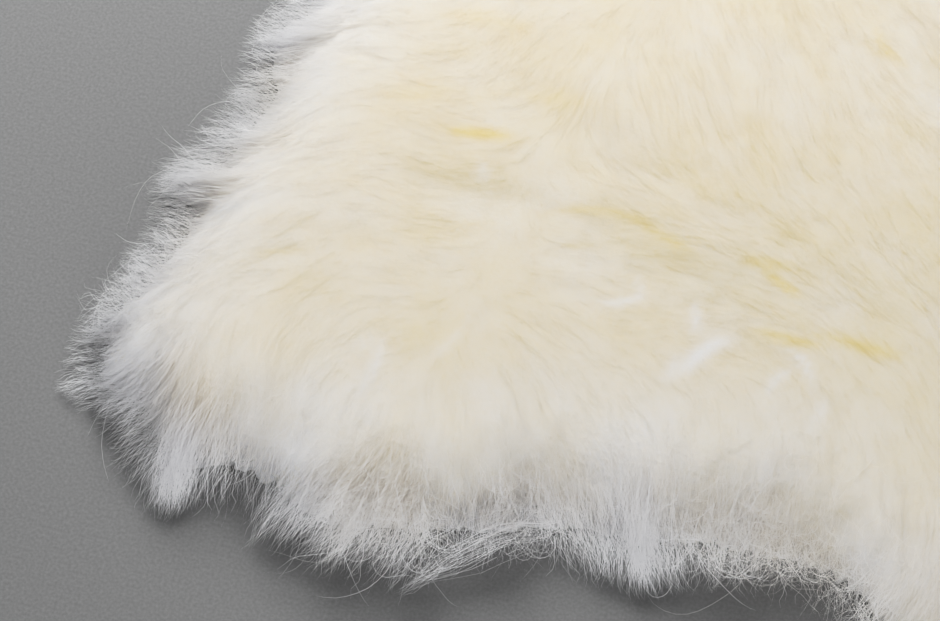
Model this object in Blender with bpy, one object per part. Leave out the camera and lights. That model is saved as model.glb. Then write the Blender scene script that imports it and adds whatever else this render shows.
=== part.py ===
"""Sheepskin rug: one tanned pelt with its wool on, lying flat, wool side up.

Metres, +Z up. The origin is on the floor under the middle of the rug. The tail end is at -Y
and the neck end at +Y. The solid is the whole pelt: skin and pile together, out to the tips
of the wool, with a flat underside.
"""

import math

import bmesh
import bpy
from mathutils import Vector, noise
from mathutils.geometry import delaunay_2d_cdt

LENGTH = 0.95  # tail end to neck end, over the wool
WIDTH = 0.60  # across the hind legs, over the wool
PILE_HEIGHT = 0.052  # top of the wool above the floor, away from the edge
RIM_HEIGHT = 0.004  # skin and the lowest wool at the very edge
ROLL_WIDTH = 0.090  # how far in from the edge the pile reaches its full height
ROLL_POWER = 0.68  # 0.5 is a round shoulder, 1 a slack one

LOCK_PITCH = 0.042  # one lock of wool along the edge, on average
LOCK_DRIFT = 1.1  # how far the locks stray from an even spacing, in locks
LOCK_DEPTH = 0.006  # how far a common gap between two locks cuts into the edge
LOCK_UNEVEN = 0.8  # share by which the common gaps differ in depth

LUMP_SIZE = 0.075  # the broad lumps in the top of the wool
LUMP_HEIGHT = 0.0045
TUFT_SIZE = 0.028  # the tufts on the lumps
TUFT_HEIGHT = 0.0025

EDGE_STEP = 0.0105  # spacing of the points along the outline
INNER_RINGS = (0.012, 0.027)  # rows of points that follow the outline, this far in
RING_CLEAR = 0.006  # the nearest one of those points may come to the edge, in a deep gap
FIELD_STEP = 0.0175  # spacing of the points inside them

# The edge of the pile, walked from the middle of the tail round the left side to the neck.
# x and y as shares of the width and the length. The last two columns move the mirrored
# point on the right side, because no pelt is quite even.
# place, x, y, right x shift, right y shift
PELT = (
    ("tail", 0.000, -0.468, 0.000, 0.000),
    ("rump", -0.150, -0.490, 0.010, 0.006),
    ("hind hock", -0.275, -0.500, -0.004, 0.004),
    ("hind foot", -0.400, -0.490, 0.004, 0.008),
    ("hind leg", -0.474, -0.450, 0.000, 0.006),
    ("thigh", -0.500, -0.392, -0.004, 0.000),
    ("stifle", -0.494, -0.325, -0.006, 0.004),
    ("flank", -0.458, -0.240, 0.010, 0.005),
    ("waist", -0.422, -0.080, -0.006, 0.010),
    ("ribs", -0.424, 0.070, -0.010, 0.000),
    ("elbow", -0.454, 0.195, 0.004, 0.006),
    ("foreleg", -0.474, 0.290, 0.010, -0.004),
    ("fore foot", -0.424, 0.368, 0.006, 0.004),
    ("shoulder", -0.310, 0.412, -0.008, -0.004),
    ("neck side", -0.184, 0.468, 0.004, -0.006),
    ("neck", 0.000, 0.500, 0.000, 0.000),
)

# The deep gaps between locks, each at the edge point nearest to x, y.
# x, y, width, depth
GAPS = (
    (-0.210, -0.455, 0.030, 0.020),
    (-0.060, -0.450, 0.024, 0.024),
    (0.034, -0.440, 0.036, 0.013),
    (0.150, -0.460, 0.026, 0.016),
    (-0.262, -0.440, 0.026, 0.009),
    (-0.285, -0.330, 0.022, 0.011),
    (-0.275, -0.262, 0.022, 0.012),
    (-0.250, -0.090, 0.026, 0.012),
    (-0.270, 0.170, 0.028, 0.014),
    (-0.200, 0.385, 0.026, 0.015),
    (-0.040, 0.470, 0.028, 0.012),
    (0.130, 0.430, 0.028, 0.016),
    (0.285, 0.280, 0.026, 0.012),
    (0.255, 0.020, 0.028, 0.014),
    (0.275, -0.215, 0.024, 0.012),
    (0.290, -0.400, 0.028, 0.013),
)

# Partings where the wool lies open: soft troughs in the top.
# x, y, direction in degrees, length, width, depth
PARTINGS = (
    (-0.150, -0.285, 172, 0.090, 0.020, 0.007),
    (-0.085, -0.250, 158, 0.110, 0.022, 0.007),
    (-0.045, -0.300, 165, 0.100, 0.020, 0.006),
    (0.070, -0.180, 140, 0.120, 0.026, 0.008),
    (-0.120, -0.090, 115, 0.110, 0.024, 0.007),
    (0.120, 0.020, 80, 0.130, 0.024, 0.007),
    (-0.060, 0.130, 60, 0.120, 0.026, 0.008),
    (0.055, 0.250, 110, 0.110, 0.024, 0.007),
    (-0.140, 0.270, 35, 0.080, 0.022, 0.006),
    (0.160, -0.330, 20, 0.090, 0.022, 0.007),
)


def clear_scene():
    for old in list(bpy.data.objects):
        bpy.data.objects.remove(old, do_unlink=True)


def make_material(name, colour, roughness):
    material = bpy.data.materials.new(name)
    material.use_nodes = True
    shader = material.node_tree.nodes["Principled BSDF"]
    shader.inputs["Base Color"].default_value = (*colour, 1.0)
    shader.inputs["Roughness"].default_value = roughness
    shader.inputs["Metallic"].default_value = 0.0
    material.diffuse_color = (*colour, 1.0)
    return material


def smooth_step(t):
    t = min(max(t, 0.0), 1.0)
    return t * t * (3.0 - 2.0 * t)


def pelt_places():
    """The closed ring of outline places: the left side up, then the right side down."""
    left = [Vector((x * WIDTH, y * LENGTH)) for _, x, y, _, _ in PELT]
    right = [
        Vector(((-x + dx) * WIDTH, (y + dy) * LENGTH)) for _, x, y, dx, dy in PELT[1:-1]
    ]
    return left + right[::-1]


def spline_point(a, b, c, d, t):
    """A Catmull-Rom curve between b and c."""
    return 0.5 * (
        2.0 * b
        + (c - a) * t
        + (2.0 * a - 5.0 * b + 4.0 * c - d) * t * t
        + (3.0 * b - a - 3.0 * c + d) * t * t * t
    )


def even_ring(points, step):
    """Points at an even spacing along a closed ring."""
    ring = points + points[:1]
    along = [0.0]
    for p, q in zip(ring, ring[1:]):
        along.append(along[-1] + (q - p).length)
    count = round(along[-1] / step)
    even, segment = [], 0
    for k in range(count):
        target = along[-1] * k / count
        while along[segment + 1] < target:
            segment += 1
        share = (target - along[segment]) / (along[segment + 1] - along[segment])
        even.append(ring[segment].lerp(ring[segment + 1], share))
    return even


def smooth_outline():
    """The pelt's outline without its locks."""
    places = pelt_places()
    count = len(places)
    fine = []
    for k in range(count):
        a, b, c, d = (places[(k + j - 1) % count] for j in range(4))
        fine += [spline_point(a, b, c, d, t / 12.0) for t in range(12)]
    return even_ring(fine, EDGE_STEP)


def outward(ring, k):
    """The direction out of the ring at point k. The ring runs clockwise from above."""
    along = ring[(k + 1) % len(ring)] - ring[k - 1]
    return Vector((-along.y, along.x)).normalized()


def fitted(ring):
    """The ring moved and scaled to lie exactly in the rug's length and width."""
    low = Vector((min(p.x for p in ring), min(p.y for p in ring)))
    high = Vector((max(p.x for p in ring), max(p.y for p in ring)))
    middle, span = (low + high) / 2.0, high - low
    return [
        Vector(((p.x - middle.x) * WIDTH / span.x, (p.y - middle.y) * LENGTH / span.y))
        for p in ring
    ]


def locked_outline(ring):
    """The outline with the gaps between its locks of wool cut in."""
    lock_count = round(len(ring) * EDGE_STEP / LOCK_PITCH)
    mouths = [
        (min(ring, key=lambda p: (p - Vector((x, y))).length), width, depth)
        for x, y, width, depth in GAPS
    ]
    locked = []
    for k, point in enumerate(ring):
        drift = LOCK_DRIFT * noise.noise(Vector((point.x, point.y, 3.0)) / 0.09)
        phase = lock_count * k / len(ring) + drift
        common = 1.0 - abs(math.sin(math.pi * phase)) ** 0.7
        uneven = 1.0 + LOCK_UNEVEN * noise.noise(Vector((point.x, point.y, 7.0)) / 0.04)
        cut = LOCK_DEPTH * common * uneven
        for mouth, width, depth in mouths:
            cut += depth * math.exp(-((2.0 * (point - mouth).length / width) ** 2))
        locked.append(point - outward(ring, k) * cut)
    return fitted(locked)


def inset(ring, distance):
    return [p - outward(ring, k) * distance for k, p in enumerate(ring)]


def edge_distance(ring, point):
    """How far a point is from the ring."""
    nearest = math.inf
    for k, q in enumerate(ring):
        p = ring[k - 1]
        side = q - p
        t = min(max((point - p).dot(side) / side.length_squared, 0.0), 1.0)
        nearest = min(nearest, (point - p - side * t).length_squared)
    return math.sqrt(nearest)


def is_inside(ring, point):
    inside = False
    for k, q in enumerate(ring):
        p = ring[k - 1]
        if (p.y > point.y) != (q.y > point.y):
            cross = p.x + (q.x - p.x) * (point.y - p.y) / (q.y - p.y)
            if point.x < cross:
                inside = not inside
    return inside


def field_points(ring, clear):
    """Staggered rows of points inside the ring, no nearer to it than clear."""
    points = []
    row_step = FIELD_STEP * math.sqrt(3.0) / 2.0
    rows = int(LENGTH / row_step) + 1
    columns = int(WIDTH / FIELD_STEP) + 1
    for row in range(-rows // 2, rows // 2 + 1):
        for column in range(-columns // 2, columns // 2 + 1):
            x = (column + 0.5 * (row % 2)) * FIELD_STEP
            point = Vector((x, row * row_step))
            if is_inside(ring, point) and edge_distance(ring, point) > clear:
                points.append(point)
    return points


def parting_depth(point):
    depth = 0.0
    for x, y, direction, length, width, deep in PARTINGS:
        turn = math.radians(direction)
        off = point - Vector((x, y))
        along = off.x * math.cos(turn) + off.y * math.sin(turn)
        across = off.y * math.cos(turn) - off.x * math.sin(turn)
        near = (2.0 * along / length) ** 2 + (2.0 * across / width) ** 2
        depth = max(depth, deep * math.exp(-near))
    return depth


def pile_top(point, inward):
    """Height of the wool at a point that lies inward from the edge."""
    share = min(inward / ROLL_WIDTH, 1.0)
    crown = (1.0 - (1.0 - share) ** 2) ** ROLL_POWER
    broad = noise.noise(Vector((point.x, point.y, 0.0)) / LUMP_SIZE)
    fine = noise.noise(Vector((point.x, point.y, 1.0)) / TUFT_SIZE)
    relief = LUMP_HEIGHT * broad + TUFT_HEIGHT * fine - parting_depth(point)
    full = PILE_HEIGHT - RIM_HEIGHT + relief * smooth_step(share * 1.4)
    return RIM_HEIGHT + crown * full


def make_pelt(material, collection):
    """A triangulated top over the outline, a low rim, and one flat face under it all."""
    smooth = smooth_outline()
    edge = locked_outline(smooth)
    points = list(edge)
    for distance in INNER_RINGS:
        ring = inset(smooth, distance + LOCK_DEPTH)
        points += [p for p in ring if is_inside(edge, p) and edge_distance(edge, p) > RING_CLEAR]
    points += field_points(smooth, INNER_RINGS[-1] + LOCK_DEPTH + 0.6 * FIELD_STEP)
    sides = [(k, (k + 1) % len(edge)) for k in range(len(edge))]
    inside_edges = 1
    flat, _, faces, *_ = delaunay_2d_cdt(points, sides, [], inside_edges, 1e-6)

    mesh = bmesh.new()
    tops = []
    for k, point in enumerate(flat):
        inward = 0.0 if k < len(edge) else edge_distance(edge, point)
        height = RIM_HEIGHT if k < len(edge) else pile_top(point, inward)
        tops.append(mesh.verts.new((point.x, point.y, height)))
    for face in faces:
        mesh.faces.new([tops[k] for k in face])
    feet = [mesh.verts.new((p.x, p.y, 0.0)) for p in edge]
    for a, b in sides:
        mesh.faces.new((tops[a], tops[b], feet[b], feet[a]))
    mesh.faces.new(feet)
    bmesh.ops.recalc_face_normals(mesh, faces=mesh.faces)
    for face in mesh.faces:
        face.smooth = len(face.verts) == 3

    data = bpy.data.meshes.new("sheepskin")
    mesh.to_mesh(data)
    mesh.free()
    data.materials.append(material)
    pelt = bpy.data.objects.new("sheepskin", data)
    collection.objects.link(pelt)
    return pelt


def main():
    clear_scene()
    collection = bpy.data.collections.new("sheepskin_rug")
    bpy.context.scene.collection.children.link(collection)
    wool = make_material("wool", (0.86, 0.81, 0.69), 0.92)
    make_pelt(wool, collection)


main()
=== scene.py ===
import math

import bmesh
import bpy
import numpy as np
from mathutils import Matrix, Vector
from mathutils.bvhtree import BVHTree
from numpy.random import default_rng


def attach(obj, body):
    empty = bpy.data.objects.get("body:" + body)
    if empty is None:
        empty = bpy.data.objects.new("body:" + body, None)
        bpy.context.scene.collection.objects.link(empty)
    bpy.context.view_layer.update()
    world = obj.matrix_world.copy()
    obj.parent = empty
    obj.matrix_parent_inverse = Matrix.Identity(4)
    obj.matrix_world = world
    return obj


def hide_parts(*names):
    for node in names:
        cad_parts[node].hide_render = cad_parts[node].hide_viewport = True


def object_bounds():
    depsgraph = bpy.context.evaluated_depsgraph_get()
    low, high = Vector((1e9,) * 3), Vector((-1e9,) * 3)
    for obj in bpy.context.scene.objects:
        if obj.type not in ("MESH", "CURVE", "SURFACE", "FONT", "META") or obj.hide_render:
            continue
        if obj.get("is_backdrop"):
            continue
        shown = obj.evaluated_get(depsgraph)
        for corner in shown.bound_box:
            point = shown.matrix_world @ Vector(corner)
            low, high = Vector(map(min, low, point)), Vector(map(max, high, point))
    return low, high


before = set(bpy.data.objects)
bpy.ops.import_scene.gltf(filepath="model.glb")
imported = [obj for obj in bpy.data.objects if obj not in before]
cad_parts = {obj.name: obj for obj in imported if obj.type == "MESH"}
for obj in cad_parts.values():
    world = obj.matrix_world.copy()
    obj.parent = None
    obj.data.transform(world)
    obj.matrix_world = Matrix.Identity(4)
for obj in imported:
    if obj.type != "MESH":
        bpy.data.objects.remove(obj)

# A wool-on sheepskin laid on a floor: the skin, the dense wool under the surface, and the
# strands themselves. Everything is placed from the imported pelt's outline and top.

cadLow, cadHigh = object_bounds()
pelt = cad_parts["sheepskin"]
scene = bpy.context.scene
print("frame loaded, pelt", [round(v, 3) for v in cadHigh - cadLow])


# ---- materials

class Wire:
    # one socket in a material, so that shader maths reads as maths
    def __init__(self, finish, socket):
        self.finish, self.socket = finish, socket

    def maths(self, operation, first, second):
        return self.finish.node("Math", {"operation": operation}, {0: first, 1: second})

    def __add__(self, other):
        return self.maths("ADD", self, other)

    def __sub__(self, other):
        return self.maths("SUBTRACT", self, other)

    def __rsub__(self, other):
        return self.maths("SUBTRACT", other, self)

    def __mul__(self, other):
        return self.maths("MULTIPLY", self, other)

    def __pow__(self, other):
        return self.maths("POWER", self, other)

    __radd__, __rmul__ = __add__, __mul__


class Finish:
    # a material under construction
    def __init__(self, name):
        self.material = bpy.data.materials.new(name)
        self.material.use_nodes = True
        self.tree = self.material.node_tree
        self.tree.nodes.clear()

    def node(self, kind, settings=None, sockets=None, output=0):
        made = self.tree.nodes.new("ShaderNode" + kind)
        for name, value in (settings or {}).items():
            if name == "stops":
                for place, colour in value[2:]:
                    made.color_ramp.elements.new(place)
                for element, (place, colour) in zip(made.color_ramp.elements, value):
                    element.position = place
                    element.color = (*colour, 1.0)
            else:
                setattr(made, name, value)
        for name, value in (sockets or {}).items():
            if isinstance(value, Wire):
                self.tree.links.new(value.socket, made.inputs[name])
            else:
                made.inputs[name].default_value = value
        return Wire(self, made.outputs[output])

    def blend(self, share, first, second):
        # colours: share 0 is the first, 1 the second
        return self.node("Mix", {"data_type": "RGBA"}, {0: share, 6: first, 7: second}, 2)

    def dimmed(self, colour, share):
        return self.node("VectorMath", {"operation": "SCALE"}, {0: colour, "Scale": share})

    def place(self):
        return self.node("TexCoord", {}, {}, 3)

    def noise(self, place, scale, detail):
        return self.node("TexNoise", {}, {"Vector": place, "Scale": scale, "Detail": detail})

    def bump(self, strength, distance, height):
        return self.node("Bump", {}, {"Strength": strength, "Distance": distance, "Height": height})

    def ramp(self, share, stops):
        return self.node("ValToRGB", {"stops": stops}, {0: share})

    def reading(self, name):
        # a value that the mesh carries at each point
        return self.node("Attribute", {"attribute_name": name}, {}, 2)

    def surface(self, colour, roughness, gloss, more=None):
        return self.node("BsdfPrincipled", {}, {
            "Base Color": colour, "Roughness": roughness, "Specular IOR Level": gloss, **(more or {}),
        })

    def show(self, shader):
        end = self.tree.nodes.new("ShaderNodeOutputMaterial")
        self.tree.links.new(shader.socket, end.inputs["Surface"])
        return self.material


# ---- the pelt's shape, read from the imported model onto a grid

grid = {
    "step": 0.0025,
    "margin": 0.06,
    "evenOut": 0.022,  # unevenness up to this size is left out of the soft outline
    "lowest": 0.003,  # least height of the wool's top
}

lowX, lowY = cadLow.x - grid["margin"], cadLow.y - grid["margin"]
countX = int((cadHigh.x - cadLow.x + 2 * grid["margin"]) / grid["step"]) + 1
countY = int((cadHigh.y - cadLow.y + 2 * grid["margin"]) / grid["step"]) + 1
gridX, gridY = np.meshgrid(
    lowX + grid["step"] * np.arange(countX), lowY + grid["step"] * np.arange(countY)
)


def outlineOf(node):
    # the closed ring round the flat underside
    shape = bmesh.new()
    shape.from_mesh(node.data)
    bmesh.ops.remove_doubles(shape, verts=shape.verts, dist=1e-6)
    under = {f for f in shape.faces if f.normal.z < -0.9 and f.calc_center_median().z < 0.0001}
    nextTo = {}
    for edge in shape.edges:
        if sum(f in under for f in edge.link_faces) == 1:
            a, b = edge.verts
            nextTo.setdefault(a, []).append(b)
            nextTo.setdefault(b, []).append(a)
    first = min(nextTo, key=lambda v: v.co.y)
    ring, before, here = [], None, first
    while here is not first or not ring:
        ring.append((here.co.x, here.co.y))
        a, b = nextTo[here]
        before, here = here, (b if a is before else a)
    shape.free()
    return np.array(ring)


def topOf(node):
    # height of the pile over each crossing of the grid, 0 outside it
    shape = bmesh.new()
    shape.from_mesh(node.data)
    tree = BVHTree.FromBMesh(shape)
    shape.free()
    down, above = Vector((0, 0, -1)), cadHigh.z + 0.01
    heights = np.zeros(gridX.size)
    for k, (x, y) in enumerate(zip(gridX.ravel(), gridY.ravel())):
        hit = tree.ray_cast(Vector((x, y, above)), down)
        if hit[0] is not None:
            heights[k] = hit[0].z
    return heights.reshape(gridX.shape)


def inwardFrom(ring, x, y):
    # distance to a ring, positive inside it
    nearest, inside = np.full(x.shape, 1e9), np.zeros(x.shape, bool)
    for (px, py), (qx, qy) in zip(ring, np.roll(ring, -1, 0)):
        sx, sy = qx - px, qy - py
        t = np.clip(((x - px) * sx + (y - py) * sy) / (sx * sx + sy * sy), 0, 1)
        nearest = np.minimum(nearest, (x - px - t * sx) ** 2 + (y - py - t * sy) ** 2)
        if sy:
            inside ^= ((py > y) != (qy > y)) & (x < px + sx * (y - py) / sy)
    return np.sqrt(nearest) * np.where(inside, 1, -1)


def blurred(values, width):
    across = np.fft.rfftfreq(values.shape[1], grid["step"])
    up = np.fft.fftfreq(values.shape[0], grid["step"])[:, None]
    keep = np.exp(-2 * (math.pi * width) ** 2 * (across**2 + up**2))
    return np.fft.irfft2(np.fft.rfft2(values) * keep, values.shape)


def read(values, x, y):
    # a grid's value at any place
    u = np.clip((x - lowX) / grid["step"], 0, countX - 1.001)
    v = np.clip((y - lowY) / grid["step"], 0, countY - 1.001)
    i, j = u.astype(int), v.astype(int)
    u, v = u - i, v - j
    near = values[j, i] * (1 - u) + values[j, i + 1] * u
    far = values[j + 1, i] * (1 - u) + values[j + 1, i + 1] * u
    return near * (1 - v) + far * v


def slopeOf(values):
    # how fast a grid's value rises along x and along y
    up, across = np.gradient(values, grid["step"])
    return across, up


def ease(low, high, value):
    t = np.clip((value - low) / (high - low), 0, 1)
    return t * t * (3 - 2 * t)


def unit(x, y):
    long = np.maximum(np.hypot(x, y), 1e-9)
    return x / long, y / long


def unitRows(vectors):
    return vectors / np.maximum(np.linalg.norm(vectors, axis=-1, keepdims=True), 1e-9)


def slid(x, y, depths, wanted, soft, times):
    # places moved along the slope of the depths until each is at the wanted one
    inX, inY = slopeOf(blurred(depths, soft))
    for _ in range(times):
        gx, gy = unit(read(inX, x, y), read(inY, x, y))
        move = wanted - read(depths, x, y)
        x, y = x + gx * move, y + gy * move
    return x, y


def cloud(x, y, size, seed):
    # smooth noise from -1 to 1 with lumps of this size
    lattice = default_rng(seed).uniform(-1, 1, (97, 89))
    u, v = x / size + 41.3, y / size + 37.7
    i, j = np.floor(u).astype(int), np.floor(v).astype(int)
    u, v = u - i, v - j
    u, v = u * u * (3 - 2 * u), v * v * (3 - 2 * v)
    i, j, i1, j1 = i % 97, j % 89, (i + 1) % 97, (j + 1) % 89
    near = lattice[i, j] * (1 - u) + lattice[i1, j] * u
    far = lattice[i, j1] * (1 - u) + lattice[i1, j1] * u
    return near * (1 - v) + far * v


def smoothRing(ring, width):
    # the ring with its locks evened out
    step = np.linalg.norm(np.roll(ring, -1, 0) - ring, axis=1).mean()
    turns = np.fft.fftfreq(len(ring), step)
    keep = np.exp(-2 * (math.pi * width * turns) ** 2)
    even = np.fft.ifft(np.fft.fft(ring[:, 0] + 1j * ring[:, 1]) * keep)
    return np.stack([even.real, even.imag], 1)


def spots(places):
    # soft round patches: x, y, radius, strength
    total = np.zeros(gridX.shape)
    for x, y, radius, strength in places:
        far = np.hypot(gridX - x, gridY - y)
        total += strength * np.exp(-((far / radius) ** 2))
    return total


# Places where the wool ends short of the frame's outline, or goes past it where the depth is under 0
edgeCuts = (
    # x, y, radius, depth
    (-0.2, -0.451, 0.018, 0.012), (-0.18, -0.462, 0.015, 0.01), (-0.085, -0.46, 0.015, 0.014),
    (-0.301, -0.356, 0.018, 0.014), (-0.27, -0.206, 0.016, 0.006), (0.0, -0.442, 0.018, 0.006),
    (0.03, -0.438, 0.018, 0.007), (0.056, -0.436, 0.02, 0.009), (-0.29, -0.33, 0.014, 0.009),
    (-0.279, -0.24, 0.014, 0.008), (-0.257, -0.22, 0.009, -0.004), (-0.248, -0.457, 0.014, -0.007),
    (-0.268, -0.432, 0.012, -0.003), (-0.274, -0.258, 0.012, -0.004), (-0.296, -0.423, 0.02, 0.007),
    (-0.304, -0.396, 0.018, 0.005), (0.06, -0.434, 0.016, 0.003),
)
outline = outlineOf(pelt)
softOutline = smoothRing(outline, grid["evenOut"])
inward = inwardFrom(outline, gridX, gridY)
softInward = inwardFrom(softOutline, gridX, gridY)
top = np.maximum(blurred(np.where(inward > 0, topOf(pelt), 0.0), 0.003), grid["lowest"])
inward, softInward = inward - spots(edgeCuts), softInward - spots(edgeCuts)
print("pelt read:", len(outline), "outline points,", gridX.size, "grid points")


# ---- which way the wool lies

# Places where the edge is thin, or thick where the step is under 0
edgePlaces = (
    # x, y, radius, how far the dense wool steps back, share of strands missing, radius that strands go round
    (-0.265, -0.417, 0.009, 0.005, 0.15, 0.002), (-0.289, -0.383, 0.02, -0.008, 0, 0),
    (-0.281, -0.408, 0.014, -0.009, 0, 0), (-0.264, -0.386, 0.022, -0.012, 0, 0),
    (-0.27, -0.399, 0.014, -0.009, 0, 0), (-0.255, -0.217, 0.016, -0.008, 0, 0),
    (-0.274, -0.276, 0.022, 0.001, 0.25, 0.005), (-0.274, -0.318, 0.014, 0.003, 0.1, 0.005),
    (-0.274, -0.344, 0.014, 0.001, 0.15, 0.005), (-0.266, -0.234, 0.022, 0, 0.35, 0.005),
    (-0.24, -0.45, 0.018, -0.006, 0, 0), (-0.15, -0.45, 0.022, 0, 0.5, 0.006),
    (-0.116, -0.444, 0.024, 0.005, 0.65, 0), (-0.076, -0.434, 0.016, 0.002, 0.6, 0),
    (-0.13, -0.453, 0.018, 0, 0.3, 0), (-0.209, -0.446, 0.01, 0.006, 0.4, 0.004),
    (0.002, -0.436, 0.02, 0.007, 0.45, 0), (0.026, -0.432, 0.024, 0.008, 0.5, 0),
    (0.054, -0.428, 0.022, 0.008, 0.45, 0), (0.095, -0.43, 0.024, -0.01, 0, 0),
    (0.215, -0.432, 0.016, 0.008, 0.4, 0.006), (0.272, -0.33, 0.014, 0.008, 0.4, 0.006),
    (-0.262, 0.08, 0.014, 0.008, 0.4, 0.006), (0.255, 0.15, 0.016, 0.008, 0.4, 0),
    (-0.18, 0.415, 0.016, 0.008, 0.4, 0.006), (0.12, 0.44, 0.018, 0.008, 0.4, 0),
)
combing = {
    "edgeWidth": 0.15,  # near the edge the wool falls straight out
    "divideWidth": 0.035,  # it parts to both sides of a divide
    "divideSwing": (-0.42, 0.4, -0.15),  # near this y, over this length, the divide swings to this x
    "towardTail": 0.35,
    "wander": ((0.11, 0.55), (0.045, 0.4), (0.018, 0.16)),  # size and strength of its turns
    "divideWander": (0.25, 0.03),  # and of the divide's
    "calm": (0.02, 0.11, 0.55, 0.45),  # it turns less near the edge: from, to, share there, share gained
    "gapTurn": 0.55,  # wool turns away from a gap in the edge
}


def combed():
    outX, outY = unit(*slopeOf(-blurred(softInward, 0.01)))
    swingAt, swingLong, swing = combing["divideSwing"]
    size, strength = combing["divideWander"]
    divide = strength * cloud(gridY, gridY * 0, size, 11)
    divide += swing * np.exp(-(((gridY - swingAt) / swingLong) ** 2))
    restX = np.tanh((gridX - divide) / combing["divideWidth"])
    restX, restY = unit(restX, np.full(gridX.shape, -combing["towardTail"]))
    edge = 1 - ease(0.03, combing["edgeWidth"], softInward)
    flowX, flowY = outX * edge + restX * (1 - edge), outY * edge + restY * (1 - edge)
    start, end, least, gained = combing["calm"]
    calm = least + gained * ease(start, end, softInward)
    for k, (size, strength) in enumerate(combing["wander"]):
        flowX = flowX + calm * strength * cloud(gridX, gridY, size, 21 + k)
        flowY = flowY + calm * strength * cloud(gridX, gridY, size, 31 + k)
    gapX, gapY = slopeOf(blurred(np.clip(softInward - inward, 0, None), 0.007))
    near = combing["gapTurn"] * (1 - ease(0.03, 0.08, softInward))
    flowX, flowY = unit(flowX - near * gapX, flowY - near * gapY)
    for x, y, _, _, _, room in edgePlaces:
        far = np.maximum(np.hypot(gridX - x, gridY - y), 1e-6)
        awayX, awayY = (gridX - x) / far, (gridY - y) / far
        share = (room / np.maximum(far, max(room, 1e-6))) ** 2
        straight = 2 * (flowX * awayX + flowY * awayY)
        flowX = flowX - share * (straight * awayX - flowX)
        flowY = flowY - share * (straight * awayY - flowY)
    return unit(blurred(flowX, 0.003), blurred(flowY, 0.003))


def flowAt(x, y):
    return read(flowX, x, y), read(flowY, x, y)


flowX, flowY = combed()
topSlopeX, topSlopeY = slopeOf(blurred(top, 0.004))


# ---- the dense wool under the surface, up to where single strands start to show

underwool = {
    "edge": 0.021,  # how far it stops short of the wool's tips
    "uneven": 0.005,
    "fingers": 1.0,  # how much its edge splits up along the combing
    "roll": 0.045,  # its rounded shoulder
    "paintedRimShade": (0.016, 0.8),  # painted shade: its colour darkens over this much of its edge, to this share
    "below": 0.004,  # depth under the top of the pile
    "lock": 0.021,  # size of its tufts
    "dimple": 0.0008,  # depth of the dimples between them
    "streak": 0.001,  # height of the low ridges that follow the combing
    "streakSize": 0.006,
    "streakLong": 0.045,
    "flatter": 0.86,  # share of its slope that shading leaves out
    "pits": ((-0.083, -0.418, 0.008, 0.009), (-0.08, -0.428, 0.008, 0.009)),  # x, y, radius, depth
    "step": 0.0027,
}
hideSheet = {
    "inset": 0.046,  # the skin's edge, in from the wool's tips
    "thick": 0.0018,
}


def lockAt(x, y, pitch, seed):
    # the nearest lock's centre, its number and its distance, from a jittered grid
    offset = default_rng(seed).uniform(0.08, 0.92, (256, 256, 2))
    i, j = np.floor(x / pitch).astype(int), np.floor(y / pitch).astype(int)
    nearest = np.full(np.shape(x), 1e9)
    second = nearest.copy()
    centreX, centreY, number = np.zeros_like(nearest), np.zeros_like(nearest), np.zeros(np.shape(x), int)
    for di in (-1, 0, 1):
        for dj in (-1, 0, 1):
            a, b = (i + di) % 256, (j + dj) % 256
            cx, cy = (i + di + offset[a, b, 0]) * pitch, (j + dj + offset[a, b, 1]) * pitch
            far = np.hypot(x - cx, y - cy)
            closer = far < nearest
            second = np.where(closer, nearest, np.minimum(second, far))
            nearest = np.where(closer, far, nearest)
            centreX, centreY = np.where(closer, cx, centreX), np.where(closer, cy, centreY)
            number = np.where(closer, a * 256 + b, number)
    return centreX, centreY, number, second - nearest


def streaks(size, long, seed):
    # noise drawn out along the combing, from -1 to 1
    noise = cloud(gridX, gridY, size, seed)
    total, weight = noise.copy(), 1.0
    count = int(long / 2 / grid["step"])
    for way in (-1, 1):
        x, y = gridX, gridY
        for k in range(count):
            fx, fy = unit(*flowAt(x, y))
            x, y = x + way * fx * grid["step"], y + way * fy * grid["step"]
            share = math.cos(0.5 * math.pi * (k + 1) / (count + 1)) ** 2
            total += share * read(noise, x, y)
            weight += share
    total /= weight
    return total / np.abs(total).max()


edgeWander = cloud(gridX, gridY, 0.042, 45) + 0.3 * cloud(gridX, gridY, 0.013, 46)
edgeWander = blurred(edgeWander + underwool["fingers"] * streaks(0.0055, 0.024, 49), 0.0016)
underwoolInward = blurred(softInward, 0.003) - underwool["edge"]
nearEdge = 1 - ease(0.006, 0.034, underwoolInward)
underwoolInward = underwoolInward + underwool["uneven"] * edgeWander * nearEdge
underwoolInward = underwoolInward - spots([place[:4] for place in edgePlaces])


def underwoolTop():
    shoulder = np.clip(underwoolInward / underwool["roll"], 0, 1)
    shoulder = np.sin(0.5 * math.pi * shoulder) ** 0.65
    _, _, _, apart = lockAt(
        gridX + 0.006 * cloud(gridX, gridY, 0.02, 41),
        gridY + 0.006 * cloud(gridX, gridY, 0.02, 42),
        underwool["lock"], 43,
    )
    dimple = underwool["dimple"] * (1 - ease(0, 0.4 * underwool["lock"], apart))
    ridge = underwool["streak"] * streaks(underwool["streakSize"], underwool["streakLong"], 47)
    full = np.minimum(top, blurred(top, 0.006)) - underwool["below"] - dimple + ridge
    full = full - spots(underwool["pits"])
    base = hideSheet["thick"] + 0.001
    return base + np.clip(full - base, 0, None) * shoulder


underTop = blurred(underwoolTop(), 0.0016)

thinness = np.clip(spots([(x, y, 1.2 * radius, thin) for x, y, radius, _, thin, _ in edgePlaces]), 0, 0.9)

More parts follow.
